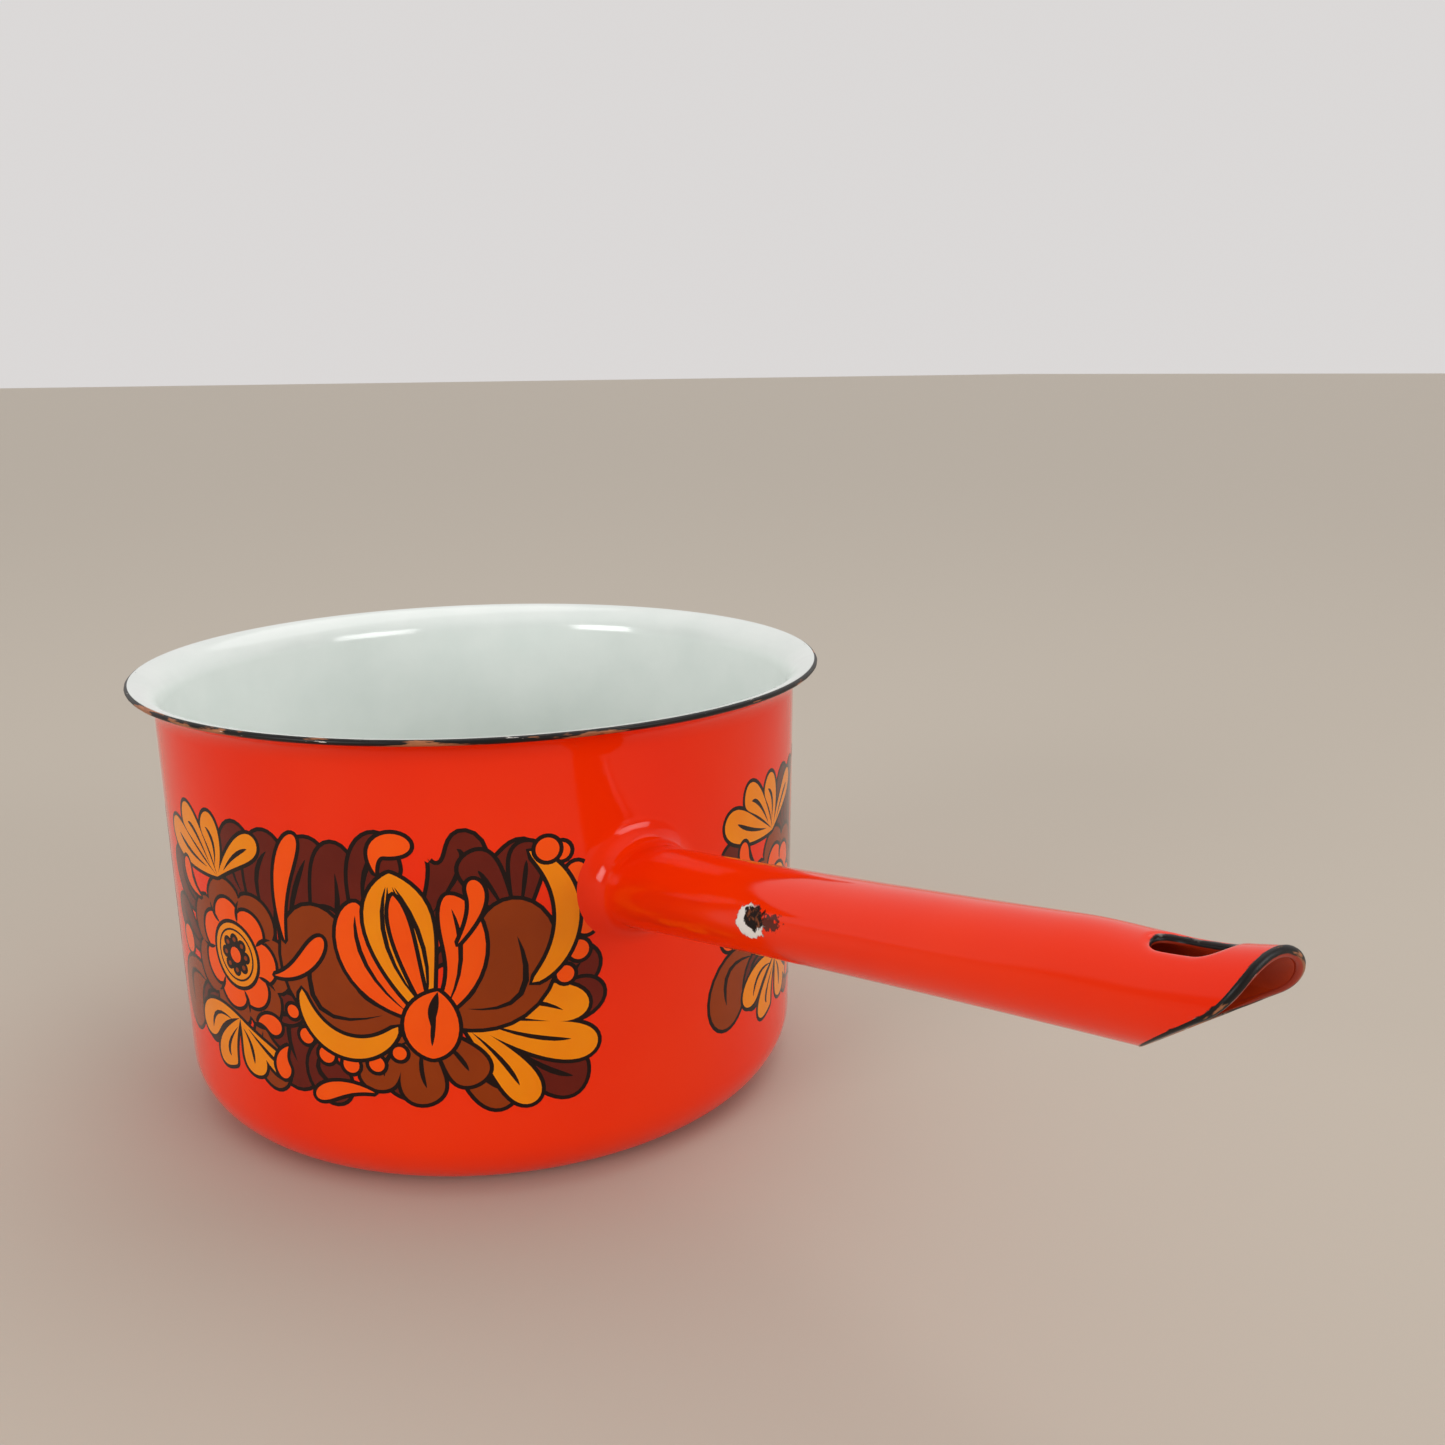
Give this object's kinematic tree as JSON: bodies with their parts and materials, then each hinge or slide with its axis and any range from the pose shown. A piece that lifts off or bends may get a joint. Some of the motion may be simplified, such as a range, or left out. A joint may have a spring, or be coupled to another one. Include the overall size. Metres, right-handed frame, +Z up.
{
  "type": "saucepan",
  "caption": "Straight-sided enamelled steel saucepan with a turned-out lip and a hollow welded side handle that has a hanging slot.",
  "frame": {"origin": "centre of the pan's base, on the plane that it stands on", "axes": "+Z up along the pan's axis, +X from the pan's axis out over the handle"},
  "size_m": [0.3284, 0.175, 0.1108],
  "materials": {
    "enamelled_red": "glossy fired enamel, red-orange, with a printed and fired flower transfer on the pan's wall",
    "enamelled_white": "glossy fired enamel, pale mint white",
    "enamelled_black": "satin black fired enamel, worn through to rusty steel in places",
    "ground_coat": "bare fired ground coat, rusty brown",
    "sheet_steel": "low-carbon sheet steel under the enamel"
  },
  "bodies": {
    "root": {"pan_shell": "sheet_steel", "handle_tube": "sheet_steel", "root_weld": "sheet_steel", "outside_enamel": "enamelled_red", "inside_enamel": "enamelled_white", "rim_enamel": "enamelled_black", "base_enamel": "ground_coat", "handle_lining": "ground_coat", "mouth_enamel": "enamelled_black", "slot_enamel": "enamelled_black"}
  },
  "joints": []
}
